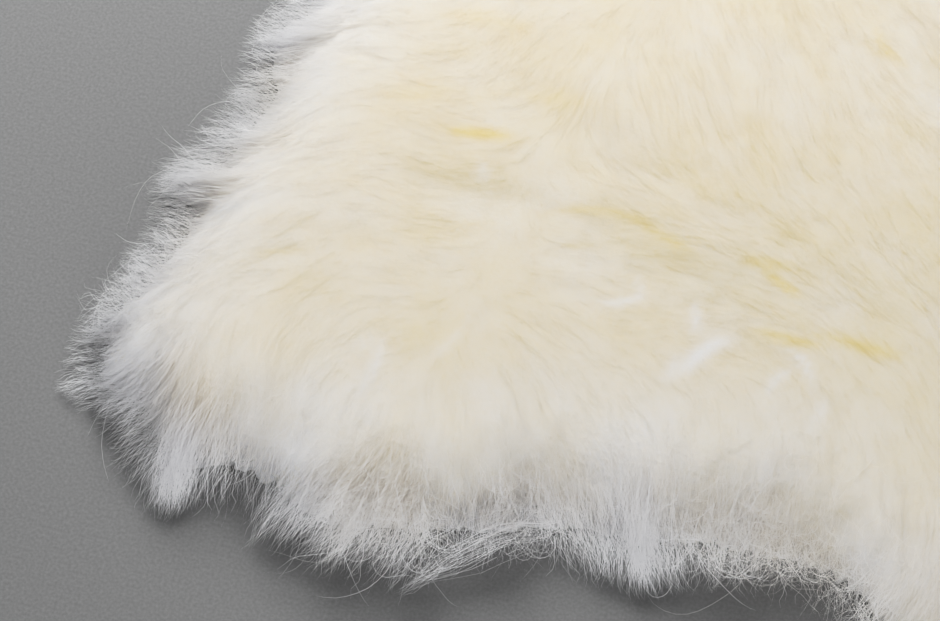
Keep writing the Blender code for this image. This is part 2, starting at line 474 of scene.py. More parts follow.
# Frizz: patches where the wool is tangled and curls on itself
frizz = {
    "size": 0.035,
    "from": 0.45,  # how high the noise has to be before frizz starts
    "edge": (0.05, 0.1),  # apart from its places, it fades out over this
    "most": 1.8,
    "places": (
        (-0.082, -0.418, 0.012, 1.2), (-0.075, -0.435, 0.018, 0.8), (-0.12, -0.45, 0.026, 0.9),
        (0.046, -0.418, 0.03, 1.8), (0.012, -0.428, 0.024, 1.4), (-0.16, -0.385, 0.03, 0.3),
    ),
}
frizzy = ease(frizz["from"], 1.0, cloud(gridX, gridY, frizz["size"], 48))
frizzy = frizzy * (1 - ease(*frizz["edge"], softInward))
frizzy = np.clip(frizzy + spots(frizz["places"]), 0, frizz["most"])

placedCorner = (-0.3, 0.1, -0.475, -0.19)  # left, right, near, far: only placed shapes in here

# Warm partings, where the yellower wool below shows
partings = {
    # x, y, turn in degrees, half length, half width, bow, strength
    "placed": (
        (-0.144, -0.263, 8, 0.015, 0.003, 0, 0.95), (-0.082, -0.287, 8, 0.026, 0.0018, -9, 0.55),
        (-0.052, -0.293, -22, 0.016, 0.0026, 0, 0.45), (-0.087, -0.309, 12, 0.008, 0.0014, -8, 0.4),
        (-0.004, -0.296, 2, 0.013, 0.002, 0, 0.5), (0.004, -0.305, -30, 0.01, 0.0022, 0, 0.65),
        (0.012, -0.333, 0, 0.017, 0.0024, 5, 0.6), (0.042, -0.327, -2, 0.02, 0.0026, 0, 0.55),
        (-0.146, -0.378, 66, 0.012, 0.0045, 0, 0.12), (-0.115, -0.235, 6, 0.016, 0.005, 0, 0.25),
        (-0.155, -0.205, 4, 0.02, 0.0045, 0, 0.3), (-0.178, -0.25, 20, 0.02, 0.006, 0, 0.2),
        (-0.215, -0.345, 12, 0.012, 0.0018, 0, 0.3),
    ),
    "count": 190,
    "long": (0.008, 0.026),
    "wide": (0.0012, 0.0034),
    "strong": (0.1, 0.75),
    "edgeFree": 0.07,
    "seed": 5,
}
# White tufts: lock ends whiter in colour, partly their own whiter wool and partly a painted highlight where
# they catch the light
tufts = {
    "placed": (
        (-0.0225, -0.3485, 50, 0.014, 0.0038, -12, 0.85), (-0.0285, -0.332, 106, 0.008, 0.0022, 0, 0.65),
        (-0.033, -0.358, 75, 0.007, 0.003, 0, 0.6), (-0.061, -0.333, 22, 0.01, 0.0016, 22, 0.65),
        (-0.056, -0.3235, 100, 0.006, 0.0014, 20, 0.5), (0.023, -0.344, 130, 0.011, 0.0022, 22, 0.55),
        (0.012, -0.352, 60, 0.009, 0.0022, -22, 0.5), (0.033, -0.362, 80, 0.009, 0.0026, 0, 0.4),
        (-0.139, -0.28, 118, 0.006, 0.0014, 0, 0.55), (-0.09, -0.298, -12, 0.013, 0.0018, -10, 0.18),
        (-0.158, -0.39, 85, 0.014, 0.0022, 10, 0.45), (-0.13, -0.372, 60, 0.012, 0.002, 10, 0.35),
    ),
    "count": 90,
    "long": (0.006, 0.016),
    "wide": (0.0014, 0.0036),
    "strong": (0.1, 0.8),
    "edgeFree": 0.055,
    "rise": 0.0009,  # height of the strongest
    "seed": 9,
}


def readOne(values, x, y):
    return read(values, np.array([x]), np.array([y]))[0]


def headingAt(x, y):
    # where the combing points, in radians
    return math.atan2(readOne(flowY, x, y), readOne(flowX, x, y))


def lenses(kind):
    # soft lens shapes along the combing, placed ones first, then more all over
    rng = default_rng(kind["seed"])
    field = np.zeros(gridX.shape)

    def addLens(x, y, turn, long, wide, bow, strong):
        along = (gridX - x) * math.cos(turn) + (gridY - y) * math.sin(turn)
        across = (gridY - y) * math.cos(turn) - (gridX - x) * math.sin(turn) - bow * along**2
        room = wide * np.clip(1 - (along / (1.6 * long)) ** 2, 0.02, 1)
        np.maximum(field, strong * np.exp(-((along / long) ** 4) - (across / room) ** 2), out=field)

    for x, y, turn, long, wide, bow, strong in kind["placed"]:
        addLens(x, y, math.radians(turn), long, wide, bow, strong)
    left, right, near, far = placedCorner
    made = 0
    while made < kind["count"]:
        x, y = rng.uniform(cadLow.x, cadHigh.x), rng.uniform(cadLow.y, cadHigh.y)
        if readOne(softInward, x, y) < kind["edgeFree"] or (left < x < right and near < y < far):
            continue
        made += 1
        turn = headingAt(x, y) + rng.normal(0, 0.35)
        long, wide = rng.uniform(*kind["long"]), rng.uniform(*kind["wide"])
        low, high = kind["strong"]
        addLens(x, y, turn, long, wide, rng.normal(0, 12), low + (high - low) * rng.random() ** 2)
    return field


warmth = lenses(partings)
# the tufts' whitening: the lock ends' own whiteness plus a painted highlight
tuftWhiteAndHighlight = lenses(tufts)
underTop = underTop + tufts["rise"] * tuftWhiteAndHighlight * (underwoolInward > 0.01)
underCover = np.where(underwoolInward > 0, underTop, 0)  # what a strand may not sink into
print("combing and partings laid out")


def addObject(name, data):
    made = bpy.data.objects.new(name, data)
    scene.collection.objects.link(made)
    return made


def addPiece(name, vertices, faceSizes, corners, finish):
    mesh = bpy.data.meshes.new(name)
    mesh.vertices.add(len(vertices))
    mesh.vertices.foreach_set("co", vertices.astype(np.float32).ravel())
    mesh.loops.add(len(corners))
    mesh.loops.foreach_set("vertex_index", corners.astype(np.int32))
    mesh.polygons.add(len(faceSizes))
    starts = np.concatenate([[0], np.cumsum(faceSizes)[:-1]])
    mesh.polygons.foreach_set("loop_start", starts.astype(np.int32))
    mesh.polygons.foreach_set("use_smooth", np.ones(len(faceSizes), bool))
    mesh.update(calc_edges=True)
    mesh.validate()
    mesh.materials.append(finish)
    piece = addObject(name, mesh)
    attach(piece, "root")
    return piece


def woolColour(finish, tone, along):
    # tone 0 is the amber of a parting, 1 the cool white of the edge
    body = finish.ramp(tone, [
        (0.0, (0.968, 0.79, 0.45)), (1.0, (0.962, 0.964, 0.98)), (0.22, (0.97, 0.868, 0.63)),
        (0.5, (0.968, 0.916, 0.78)), (0.78, (0.963, 0.946, 0.895)),
    ])
    deep = finish.ramp(tone, [
        (0.0, (0.89, 0.73, 0.42)), (1.0, (0.94, 0.94, 0.935)), (0.5, (0.93, 0.85, 0.66)),
    ])
    return finish.blend((1 - along) ** 2.2 * 0.18, body, deep)


def woolFinish(name, glow, dim, gain):
    # strands: their colour is laid out on their own map, tone across and root to tip up
    finish = Finish(name)
    layout = finish.node("UVMap", {"uv_map": "OFBake"})
    tone = finish.node("SeparateXYZ", {}, {0: layout})
    along = Wire(finish, tone.socket.node.outputs[1])
    # the colour lifts with the tone towards the edge: partly the edge wool's own whiteness, partly painted
    # light for strands that sit in shade there
    colour = finish.dimmed(woolColour(finish, tone, along), tone * gain + dim)
    fibre = finish.surface(colour, 0.55, 0.25)
    through = finish.node("BsdfTranslucent", {}, {"Color": colour})
    return finish.show(finish.node("MixShader", {}, {0: glow, 1: fibre, 2: through}))


def underwoolFinish():
    finish = Finish("denseWool")
    # shade carries painted shade, darker near the dense wool's rim
    warm, tone, dark = finish.reading("warmth"), finish.reading("tone"), finish.reading("shade")
    place = finish.place()
    lumps, hairs = finish.noise(place, 45.0, 5.0), finish.noise(place, 420.0, 3.0)
    shade = tone + (lumps - 0.5) * 0.25 + (hairs - 0.5) * 0.12 - warm * 0.6
    colour = woolColour(finish, shade, 0.55 + (lumps - 0.5) * 0.4)
    # lighter with the tone towards the edge: partly the edge wool's own whiteness, partly painted light on
    # its shaded slopes; times the painted rim shade
    colour = finish.dimmed(colour, (tone * 0.06 + 0.85) * dark)
    bump = finish.bump(0.08, 0.0012, hairs + lumps * 2)
    return finish.show(finish.surface(colour, 0.9 - lumps * 0.1, 0.15, {
        "Normal": bump, "Subsurface Weight": 0.9, "Subsurface Radius": (0.011, 0.0105, 0.0097),
        "Subsurface Scale": 1.0,
    }))


wooliness = {
    "edge": (0.006, 0.115),  # the wool turns from cool white to cream over this
    "innerTone": 0.44,  # 0 is amber, 1 the cool white of the edge
    "patches": ((0.07, 0.05, 51), (0.025, 0.036, 52)),  # size, strength, seed
    "streaks": ((0.006, 0.03, 0.07, 53), (0.014, 0.06, 0.08, 54)),  # size, length, strength, seed
    "warm": (  # creamier places: x, y, radius, strength
        (-0.115, -0.405, 0.045, 0.05), (0.043, -0.39, 0.06, 0.08), (0.085, -0.43, 0.05, 0.1),
        (-0.06, 0.3, 0.09, 0.08), (0.14, 0.06, 0.08, 0.07),
    ),
}


def toned():
    inner = ease(*wooliness["edge"], softInward)
    tone = 1.0 + (wooliness["innerTone"] - 1.0) * inner
    for size, strength, seed in wooliness["patches"]:
        tone = tone + strength * cloud(gridX, gridY, size, seed)
    for size, long, strength, seed in wooliness["streaks"]:
        tone = tone + strength * streaks(size, long, seed) * (0.4 + 0.6 * inner)
    tone = tone - spots(wooliness["warm"])
    # tufts whiten the tone: their own whiter wool plus a painted highlight
    return tone + (1.0 - tone) * tuftWhiteAndHighlight


woolTone = toned()


def buildUnderwool():
    step = underwool["step"]
    low = softOutline.min(0)
    across = np.arange(int((softOutline[:, 0].max() - low[0]) / step) + 1)
    up = np.arange(int((softOutline[:, 1].max() - low[1]) / step) + 1)
    x, y = np.meshgrid(low[0] + across * step, low[1] + up * step)
    far = read(underwoolInward, x, y)
    edgeX, edgeY = slopeOf(underwoolInward)
    # points near the edge move onto it, so that it runs smooth
    near = np.abs(far) < 0.75 * step
    gx, gy = read(edgeX, x, y), read(edgeY, x, y)
    x, y = np.where(near, x - gx * far, x), np.where(near, y - gy * far, y)
    inside = (far > 0) | near
    z = read(underTop, x, y)
    cells = inside[:-1, :-1] & inside[1:, :-1] & inside[:-1, 1:] & inside[1:, 1:]
    rows, columns = np.nonzero(cells)
    wide = x.shape[1]
    a = rows * wide + columns
    quads = np.stack([a, a + 1, a + wide + 1, a + wide], 1)
    used, quads = np.unique(quads, return_inverse=True)
    quads = quads.reshape(-1, 4)
    topPoints = np.stack([x.ravel()[used], y.ravel()[used], z.ravel()[used]], 1)
    # walls down from its rim to one flat face, a hair above the skin
    count = len(topPoints)
    sides = np.concatenate([quads[:, [0, 1]], quads[:, [1, 2]], quads[:, [2, 3]], quads[:, [3, 0]]])
    keys = np.sort(sides, 1) @ (count, 1)
    _, first, times = np.unique(keys, return_index=True, return_counts=True)
    rim = sides[first[times == 1]]
    nextOf = dict(rim.tolist())
    loop = [int(rim[0, 0])]
    while nextOf[loop[-1]] != loop[0]:
        loop.append(nextOf[loop[-1]])
    loop = np.array(loop)
    if len(loop) != len(rim):
        print("the underwool's rim isn't one loop:", len(loop), "of", len(rim))
    low = count + np.arange(len(loop))
    walls = np.stack([np.roll(loop, -1), loop, low, np.roll(low, -1)], 1)
    bottomPoints = topPoints[loop].copy()
    bottomPoints[:, 2] = hideSheet["thick"] + 0.0002
    points = np.concatenate([topPoints, bottomPoints])
    sizes = np.concatenate([np.full(len(quads) + len(walls), 4), [len(low)]])
    corners = np.concatenate([quads.ravel(), walls.ravel(), low[::-1]])
    piece = addPiece("underwool", points, sizes, corners, underwoolFinish())
    # painted shade: the dense wool's colour darkens towards its rim, where the edge strands shade it
    paintedRimShade, darkest = underwool["paintedRimShade"]
    px, py = points[:, 0], points[:, 1]
    shade = darkest + (1 - darkest) * ease(0, paintedRimShade, read(underwoolInward, px, py))
    for name, values in (
        ("warmth", read(warmth, px, py)), ("tone", read(woolTone, px, py)), ("shade", shade),
    ):
        attribute = piece.data.attributes.new(name, "FLOAT", "POINT")
        attribute.data.foreach_set("value", values.astype(np.float32))
    # soft wool hides the slope it stands on, so the dense wool shades flatter than it is
    slopeX, slopeY = slopeOf(blurred(underTop, 0.0015))
    flat = 1 - underwool["flatter"]
    px, py = topPoints[:, 0], topPoints[:, 1]
    upright = np.stack([-flat * read(slopeX, px, py), -flat * read(slopeY, px, py), np.ones(count)], 1)
    upright = unitRows(upright)
    wallNormals = np.repeat(upright[walls[:, :2]], 2, axis=1)[:, [0, 2, 3, 1]]
    downward = np.tile((0.0, 0.0, -1.0), (len(low), 1))
    normals = np.concatenate([upright[quads].reshape(-1, 3), wallNormals.reshape(-1, 3), downward])
    piece.data.normals_split_custom_set(normals)
    piece.data.calc_loop_triangles()
    print("underwool", len(piece.data.loop_triangles), "triangles")


# ---- strands

# Each row of luck is one strand's random numbers:
# 0 turn, 1 length, 2 depth, 3 lift, 4 bend, 5 crimp, 6 tone, 7 twist
luckColumns = 8

pile = {
    "density": 62000,  # strands for each square metre
    "edgeFree": 0.018,  # none within this of the underwool's edge
    "steps": 4, "reach": 0.04, "shortest": 0.55,
    "past": 0.006,  # how far beyond the outline a tip may go
    "ragged": 0.0,  # how far short of it the shortest stop
    "spread": 0.45, "bend": 0.5,
    "tipDepth": (0.03, 0.1),  # under the top of the pile, as a share of its height
    "cover": 0.0003,  # most clearance over the underwool
    "loft": 0.0, "rise": 1.7,
    "wisps": ((0.024, 0.45, 1.6, 71), (0.0065, 0.45, 1.4, 73)),  # size, pull, how late it pulls, seed
    "crimp": 0.0006, "waves": 1.6, "width": 0.00015, "twist": 0.25, "ownShade": 0.05,
    "skyward": 3.0, "toneSpread": 0.05, "partingShare": 0.9, "seed": 81,
}
# short strands that thicken the edge, then the long fine ones over them
fluff = {
    "perMetre": 6000,  # strands for each metre of edge
    "thinned": 0.6,  # how much of the edge's thinness it takes on
    "band": (-0.004, 0.018),  # how far in from the underwool's edge they are rooted
    "rooting": 0.9, "lowest": 0.25, "steps": 3, "reach": 0.026, "shortest": 0.4,
    "past": -0.003, "ragged": 0.01, "spread": 0.45, "bend": 0.4, "tipDepth": (0.05, 0.95),
    "cover": 0.0006, "loft": 0.004, "rise": 1.5,
    "wisps": ((0.034, 0.25, 2.0, 91), (0.015, 0.3, 2.0, 95)),
    "crimp": 0.0005, "waves": 1.2, "width": 0.00027, "twist": 0.4, "ownShade": 0.06,
    "skyward": 1.0, "toneSpread": 0.03, "partingShare": 0.2, "seed": 111,
}
fringe = {
    "perMetre": 18000, "thinned": 1.0, "band": (-0.004, 0.044), "rooting": 1.3, "lowest": 0.15,
    "steps": 6, "reach": 0.066, "shortest": 0.3, "past": 0.009, "ragged": 0.014,
    "spread": 0.42, "bend": 0.6, "tipDepth": (0.0, 1.0), "cover": 0.0007, "loft": 0.006, "rise": 1.5,
    "wisps": (
        (0.034, 0.25, 2.3, 91), (0.013, 0.4, 1.8, 95), (0.005, 0.45, 1.5, 93), (0.0018, 0.5, 1.2, 97),
    ),
    "crimp": 0.0009, "waves": 1.5, "width": 0.00017, "twist": 0.6, "ownShade": 0.14,
    "skyward": 1.0, "toneSpread": 0.05, "partingShare": 0.2, "seed": 101,
}


def strandPaths(x, y, rootDepth, luck, wool):
    # a strand walks along the combing, from its root in the underwool to a tip at its own depth
    steps = wool["steps"]
    share = np.arange(steps + 1) / steps
    wild = read(frizzy, x, y)
    turn = (luck[:, 0] - 0.5) * 2 * wool["spread"] * (1 + wild)
    bend = (luck[:, 4] - 0.5) * 2 * wool["bend"] * (1 + 0.3 * wild)
    reach = wool["reach"] * (wool["shortest"] + (1 - wool["shortest"]) * luck[:, 1] ** 0.7)
    allowed = wool["past"] * luck[:, 3] ** 2 - wool["ragged"] * (1 - luck[:, 3]) ** 2
    for _ in range(4):
        path = [(x, y)]
        for k in range(steps):
            px, py = path[-1]
            fx, fy = flowAt(px, py)
            angle = turn * (1 - 0.4 * share[k]) + bend * share[k]
            c, s = np.cos(angle), np.sin(angle)
            path.append((px + (fx * c - fy * s) * reach / steps, py + (fx * s + fy * c) * reach / steps))
        over = -read(inward, *path[-1]) - allowed
        reach = np.maximum(reach - np.clip(over, 0, None), 0.25 * wool["reach"])
    px, py = (np.stack(column, 1) for column in zip(*path))
    shallow, deepest = wool["tipDepth"]
    tipDepth = shallow + (deepest - shallow) * luck[:, 2]
    depth = rootDepth[:, None] + (tipDepth - rootDepth)[:, None] * (1 - (1 - share) ** wool["rise"])
    loft = wool["loft"] * (luck[:, 2] * luck[:, 3])[:, None] * share**2
    cover = read(underCover, px, py)
    cover += wool["cover"] * (0.1 + luck[:, 5:6]) * ease(0.1, 1, share) - 0.001 * (share == 0)
    pz = np.maximum(read(top, px, py) * (1 - depth) + loft, cover)
    return np.stack([px, py, np.maximum(pz, 0.0012)], 2)


def wispPull(paths, x, y, rootDepth, luck, wool):
    # strands gather towards the middle strand of their wisp, most at the tip
    share = (np.arange(wool["steps"] + 1) / wool["steps"])[None, :, None]
    for pitch, pull, late, seed in wool["wisps"]:
        centreX, centreY, number, _ = lockAt(x, y, pitch, seed)
        wispLuck = default_rng(seed + 1).random((65536, luckColumns))[number]
        wispLuck = wispLuck * 0.8 + luck * 0.2
        middle = strandPaths(centreX, centreY, rootDepth * 0.85, wispLuck, wool)
        hold = pull * (0.55 + 0.45 * wispLuck[:, 5]) / (1 + 0.8 * read(frizzy, x, y))
        paths = paths + (middle - paths) * hold[:, None, None] * share**late
    return paths


def sidesOf(paths):
    along = unitRows(np.gradient(paths, axis=1))
    return along, unitRows(np.stack([-along[:, :, 1], along[:, :, 0], np.zeros(along.shape[:2])], 2))


def crimped(paths, x, y, luck, wool):
    # a wave along each strand, in step with its neighbours in the wisp
    _, side = sidesOf(paths)
    share = np.linspace(0, 1, paths.shape[1])
    wild = read(frizzy, x, y)
    phase = 6 * cloud(x, y, 0.008, 61) + 2.5 * luck[:, 5]
    waves = wool["waves"] * (0.7 + 0.6 * luck[:, 4])
    size = wool["crimp"] * (0.4 + 1.2 * luck[:, 7]) * (1 + 1.2 * wild)
    swing = np.sin(2 * math.pi * waves[:, None] * share + phase[:, None]) * share**0.7
    lift = np.cos(1.6 * math.pi * waves[:, None] * share + 2 * phase[:, None]) * share
    paths = paths + side * (swing * size[:, None])[:, :, None]
    paths[:, :, 2] = np.maximum(paths[:, :, 2] + 0.5 * lift * size[:, None], 0.001)
    return paths


def ribbons(name, paths, luck, wool, finish):
    # each strand is a narrow ribbon that tapers to its tip and faces out of the pile
    count, points = paths.shape[:2]
    along, _ = sidesOf(paths)
    px, py = paths[:, :, 0], paths[:, :, 1]
    out = unitRows(np.stack([-read(topSlopeX, px, py), -read(topSlopeY, px, py), np.ones(px.shape)], 2))
    angle = ((luck[:, 7] - 0.5) * 2 * wool["twist"] + (luck[:, 2] - 0.5) * 0.6)[:, None, None]
    side = unitRows(np.cross(along, out))
    side = side * np.cos(angle) + np.cross(side, along) * np.sin(angle)
    share = np.arange(points) / (points - 1)
    width = wool["width"] * (0.65 + 0.7 * luck[:, 6])[:, None] * (1 - 0.8 * share**1.6)
    half = side * (width / 2)[:, :, None]
    body = np.stack([(paths - half)[:, :-1], (paths + half)[:, :-1]], 2).reshape(count, -1, 3)
    vertices = np.concatenate([body, paths[:, -1:]], 1)
    each = vertices.shape[1]
    quad = np.array([(2 * k, 2 * k + 1, 2 * k + 3, 2 * k + 2) for k in range(points - 2)]).ravel()
    last = 2 * (points - 2)
    corners = np.concatenate([quad, (last, last + 1, last + 2)])
    allCorners = (corners[None] + each * np.arange(count)[:, None]).ravel()
    sizes = np.tile(np.concatenate([np.full(points - 2, 4), [3]]), count)
    piece = addPiece(name, vertices.reshape(-1, 3), sizes, allCorners, finish)
    # a lock shades as the pile's surface does, with a little of each strand's own turn
    face = np.cross(along, side)
    face *= np.sign((face * out).sum(2, keepdims=True))
    shading = out * (1 - wool["ownShade"]) + face * wool["ownShade"]
    shading[:, :, 2] += wool["skyward"]
    shading = unitRows(shading)
    normals = np.concatenate([np.repeat(shading[:, :-1], 2, axis=1), shading[:, -1:]], 1)
    piece.data.normals_split_custom_set_from_vertices(normals.reshape(-1, 3))
    # its colour's place: the tone across, root to tip up
    own = wool["toneSpread"] * 2 * (luck[:, 6:7] - 0.5)
    tone = read(woolTone, px, py) + own - wool["partingShare"] * read(warmth, px, py)
    tone = np.concatenate([np.repeat(tone[:, :-1], 2, axis=1), tone[:, -1:]], 1)
    across = np.concatenate([np.tile((-0.004, 0.004), points - 1), [0.0]])
    up = np.concatenate([np.repeat(share[:-1], 2), [1.0]])
    u = np.clip(tone, 0.01, 0.99) + across
    uv = np.stack([u, np.broadcast_to(0.01 + 0.98 * up, u.shape)], 2)
    layer = piece.data.uv_layers.new(name="OFBake")
    layer.uv.foreach_set("vector", uv[:, corners].astype(np.float32).ravel())
    print(name, count, "strands,", count * (2 * points - 3), "triangles")


def rootDepthOf(x, y, lift):
    # lift 1 roots on the underwool's surface, less is lower on its side
    z = read(underTop, x, y) * lift
    return 1 - np.clip(z - 0.0015, 0.0015, None) / read(top, x, y)


def grown(x, y, luck, lift, wool):
    depth = rootDepthOf(x, y, lift)
    paths = strandPaths(x, y, depth, luck, wool)
    return crimped(wispPull(paths, x, y, depth, luck, wool), x, y, luck, wool)


def buildPile(finish):
    rng = default_rng(pile["seed"])
    count = int((cadHigh.x - cadLow.x) * (cadHigh.y - cadLow.y) * pile["density"])
    x = rng.uniform(cadLow.x, cadHigh.x, count)
    y = rng.uniform(cadLow.y, cadHigh.y, count)
    keep = read(underwoolInward, x, y) > pile["edgeFree"]
    x, y = x[keep], y[keep]
    luck = rng.random((len(x), luckColumns))
    paths = grown(x, y, luck, np.ones(len(x)), pile)
    for place, part in zip(("Tail", "Neck"), np.array_split(np.argsort(y), 2)):
        ribbons("pile" + place, paths[part], luck[part], pile, finish)


def alongEdge(rng, count, wanted, depths):
    # places scattered along the edge, each this far inside where depths is 0
    ring = np.concatenate([softOutline, softOutline[:1]])
    sides = np.linalg.norm(np.diff(ring, axis=0), axis=1)
    walked = np.concatenate([[0], np.cumsum(sides)])
    at = rng.uniform(0, walked[-1], count)
    x, y = np.interp(at, walked, ring[:, 0]), np.interp(at, walked, ring[:, 1])
    return slid(x, y, depths, wanted, 0.008, 6)


edgeLength = np.linalg.norm(np.roll(softOutline, -1, 0) - softOutline, axis=1).sum()


def buildEdge(wool, names, finish):
    rng = default_rng(wool["seed"])
    count = int(edgeLength * wool["perMetre"])
    near, far = wool["band"]
    wanted = near + (far - near) * rng.random(count) ** wool["rooting"]
    x, y = alongEdge(rng, count, wanted, underwoolInward)
    keep = rng.random(count) > wool["thinned"] * read(thinness, x, y)
    x, y = x[keep], y[keep]
    count = len(x)
    luck = rng.random((count, luckColumns))
    lift = wool["lowest"] + (1 - wool["lowest"]) * rng.random(count) ** 0.6
    paths = grown(x, y, luck, lift, wool)
    for name, part in zip(names, np.array_split(np.argsort(np.arctan2(y, x)), len(names))):
        ribbons(name, paths[part], luck[part], wool, finish)


# Single hairs that stray out of the edge
strays = {
    "count": 300,
    "tries": 2,  # places tried for each
    "band": (0.002, 0.026),  # how far in from the edge they are rooted
    "root": (0.3, 1.1),  # height of a root, as a share of the pile's
    "tip": (0.001, 0.016),  # height of a tip, a share of the pile's too if frizzed
    "frizzed": False,  # whether they grow only in frizz
    "reach": (0.018, 0.052),
    "curl": 3.0,  # most turn in radians, root to tip
    "beyond": 0.015, "width": 0.00018, "seed": 131,
}
# Knots of crimped hair that curls on itself
tangles = {
    "count": 1900, "tries": 60, "band": (0.004, 0.06), "root": (0.5, 1.0), "tip": (0.5, 1.1),
    "frizzed": True, "reach": (0.012, 0.034), "curl": 6.0, "beyond": 0.002, "width": 0.00016,
    "seed": 141,
}
bothHairs = {
    "steps": 10, "twist": 1.2, "ownShade": 0.3, "skyward": 1.0, "toneSpread": 0.06, "partingShare": 0.0,
}


def curlyPaths(rng, x, y, low, high, hair):
    # hairs that turn as they please: a steady turn and a wandering one
    reach, curl = rng.uniform(*hair["reach"], len(x)), hair["curl"]
    steps = bothHairs["steps"]
    fx, fy = flowAt(x, y)
    heading = np.arctan2(fy, fx) + rng.normal(0, 0.5, len(x))
    steady = rng.normal(0, 0.35, len(x)) * curl / steps
    path, angle = [(x, y)], heading
    wander = np.zeros(len(x))
    for _ in range(steps):
        wander = 0.6 * wander + rng.normal(0, 0.35, len(x)) * curl / steps
        angle = angle + steady + wander
        px, py = path[-1]
        px, py = px + np.cos(angle) * reach / steps, py + np.sin(angle) * reach / steps
        path.append((px, py))
    px, py = (np.stack(column, 1) for column in zip(*path))
    share = np.arange(steps + 1) / steps
    z = low[:, None] + (high - low)[:, None] * share
    z += 0.0015 * np.sin(7 * share + 6 * rng.random((len(x), 1)))
    z = np.maximum(np.maximum(z, read(underCover, px, py) + 0.0004), 0.001)
    # only hairs that stay near enough to the edge are kept
    keep = (-read(softInward, px, py)).max(1) < hair["beyond"]
    return np.stack([px, py, z], 2)[keep][:hair["count"]]


def buildHairs(name, hair, finish):
    rng = default_rng(hair["seed"])
    count = hair["tries"] * hair["count"]
    x, y = alongEdge(rng, count, rng.uniform(*hair["band"], count), inward)
    if hair["frizzed"]:
        keep = np.nonzero(rng.random(count) < read(frizzy, x, y) ** 1.5)[0][:2 * hair["count"]]
        x, y = x[keep], y[keep]
    high = read(top, x, y)
    low, tip = high * rng.uniform(*hair["root"], len(x)), rng.uniform(*hair["tip"], len(x))
    if hair["frizzed"]:
        tip *= high
    paths = curlyPaths(rng, x, y, low, tip, hair)
    luck = rng.random((len(paths), luckColumns))
    ribbons(name, paths, luck, {**bothHairs, **hair}, finish)


# Loose locks that sweep across the edge
locks = {
    "placed": (
        # x, y, heading in degrees, length, turn in degrees, half width, strands, sink over its length
        (-0.06, -0.425, 204, 0.084, 24, 0.005, 34, 0.55), (-0.078, -0.43, 215, 0.06, 10, 0.006, 16, 0.75),
        (-0.11, -0.446, 205, 0.036, 60, 0.005, 16, 0.8), (-0.145, -0.432, 268, 0.04, -50, 0.005, 18, 0.9),
    ),
    "sweeps": 26,  # more of them round the edge, each with values from these ranges
    "band": (0.02, 0.045),
    "lean": 25,  # degrees that it starts off the combing
    "long": (0.026, 0.044), "turn": (20, 60), "half": (0.004, 0.007), "strands": (12, 26),
    "sink": 0.96,
    "frayed": (0.45, 0.25),  # shares of its length over which strands start, and end
    "steps": 8, "crimp": 0.0008, "waves": 2.0, "width": 0.00017, "seed": 151, "twist": 0.5,
    "ownShade": 0.08, "skyward": 1.0, "toneSpread": 0.03, "partingShare": 0.0,
}


def lockPaths(rng, x, y, heading, long, turn, half, count, sink):
    # strands share the lock's line, open out along it and close at its tip
    points = 25
    fine = np.linspace(0, 1, points)
    angle = math.radians(heading) + math.radians(turn) * fine
    lineX = x + np.cumsum(np.cos(angle)) * long / points
    lineY = y + np.cumsum(np.sin(angle)) * long / points
    share = np.arange(locks["steps"] + 1) / locks["steps"]
    startOver, endOver = locks["frayed"]
    begin = startOver * rng.random((count, 1)) ** 1.2
    end = 1 - endOver * rng.random((count, 1)) ** 2
    at = begin + (end - begin) * share
    place = rng.normal(0, 0.55, (count, 1)) * half
    room = place * (0.5 + 0.9 * np.sin(math.pi * np.minimum(at * 1.1, 1)) - 0.35 * at)
    turned = np.interp(at, fine, angle)
    px = np.interp(at, fine, lineX) - np.sin(turned) * room
    py = np.interp(at, fine, lineY) + np.cos(turned) * room
    px += np.cos(turned) * rng.normal(0, 0.0008, (count, 1))
    # it lies a little over the dense wool, with its roots just under
    cover = read(underCover, px, py) + 0.0002
    cover += 0.0016 * rng.random((count, 1)) * np.sin(math.pi * share)
    cover -= 0.0012 * (share == 0)
    drop = 0.25 + sink * (0.3 + 0.7 * rng.random((count, 1))) * at
    z = read(top, px, py) * np.clip(1 - drop, 0.05, 1)
    return np.stack([px, py, np.maximum(np.maximum(z, cover), 0.0015)], 2)


def buildLocks(finish):
    rng = default_rng(locks["seed"])
    every = [lockPaths(rng, *placed) for placed in locks["placed"]]
    roots = alongEdge(rng, locks["sweeps"], rng.uniform(*locks["band"], locks["sweeps"]), softInward)
    for x, y in zip(*roots):
        way = rng.choice((-1, 1))
        heading = math.degrees(headingAt(x, y)) - way * locks["lean"]
        every.append(lockPaths(
            rng, x, y, heading, rng.uniform(*locks["long"]), way * rng.uniform(*locks["turn"]),
            rng.uniform(*locks["half"]), rng.integers(*locks["strands"]), locks["sink"],
        ))
    paths = np.concatenate(every)
    paths = paths[read(inward, paths[:, -1, 0], paths[:, -1, 1]) > -0.008]
    luck = rng.random((len(paths), luckColumns))
    paths = crimped(paths, paths[:, 0, 0] + 0.02 * luck[:, 0], paths[:, 0, 1], luck, locks)
    ribbons("locks", paths, luck, locks, finish)


# ---- the skin

def hideFinish():
    finish = Finish("suede")
    place = finish.place()
    blotches, nap = finish.noise(place, 9.0, 4.0), finish.noise(place, 900.0, 4.0)
    pores = finish.node("TexVoronoi", {}, {"Vector": place, "Scale": 520.0})
    colour = finish.blend(blotches, (0.6, 0.48, 0.34, 1), (0.78, 0.69, 0.55, 1))
    colour = finish.blend(nap * 0.3, colour, (0.5, 0.39, 0.27, 1))
    bump = finish.bump(0.4, 0.0004, nap + pores * 0.5)
    return finish.show(finish.surface(colour, 0.82 + nap * 0.12, 0.2, {"Normal": bump}))


